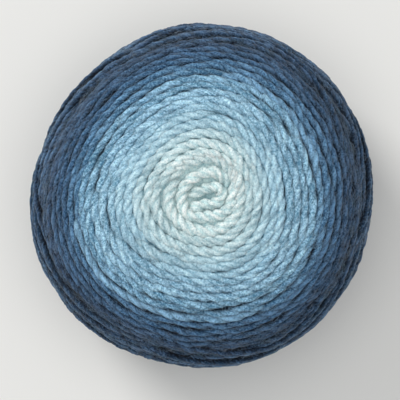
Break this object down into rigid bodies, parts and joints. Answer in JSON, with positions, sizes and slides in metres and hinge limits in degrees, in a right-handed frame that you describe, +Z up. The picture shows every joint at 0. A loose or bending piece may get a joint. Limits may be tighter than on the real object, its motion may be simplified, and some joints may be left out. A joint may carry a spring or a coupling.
{
  "type": "yarn cake",
  "caption": "Squat round cake of wound plied yarn with a domed crown of spiral turns, a bulged side of crossing wraps and a small pressed flat to stand on.",
  "frame": {"origin": "middle of the outline, in the plane of the pressed flat that the cake stands on", "axes": "+Z up along the winding's axis, +X to the right and +Y away as seen from above in the picture's view"},
  "size_m": [0.132, 0.1328, 0.0865],
  "materials": {
    "yarn": "soft plied yarn, matt and slightly fuzzy, dyed from icy white at the eye through sky blue to navy at the rim"
  },
  "bodies": {
    "root": {"wound_cake": "yarn"}
  },
  "joints": []
}
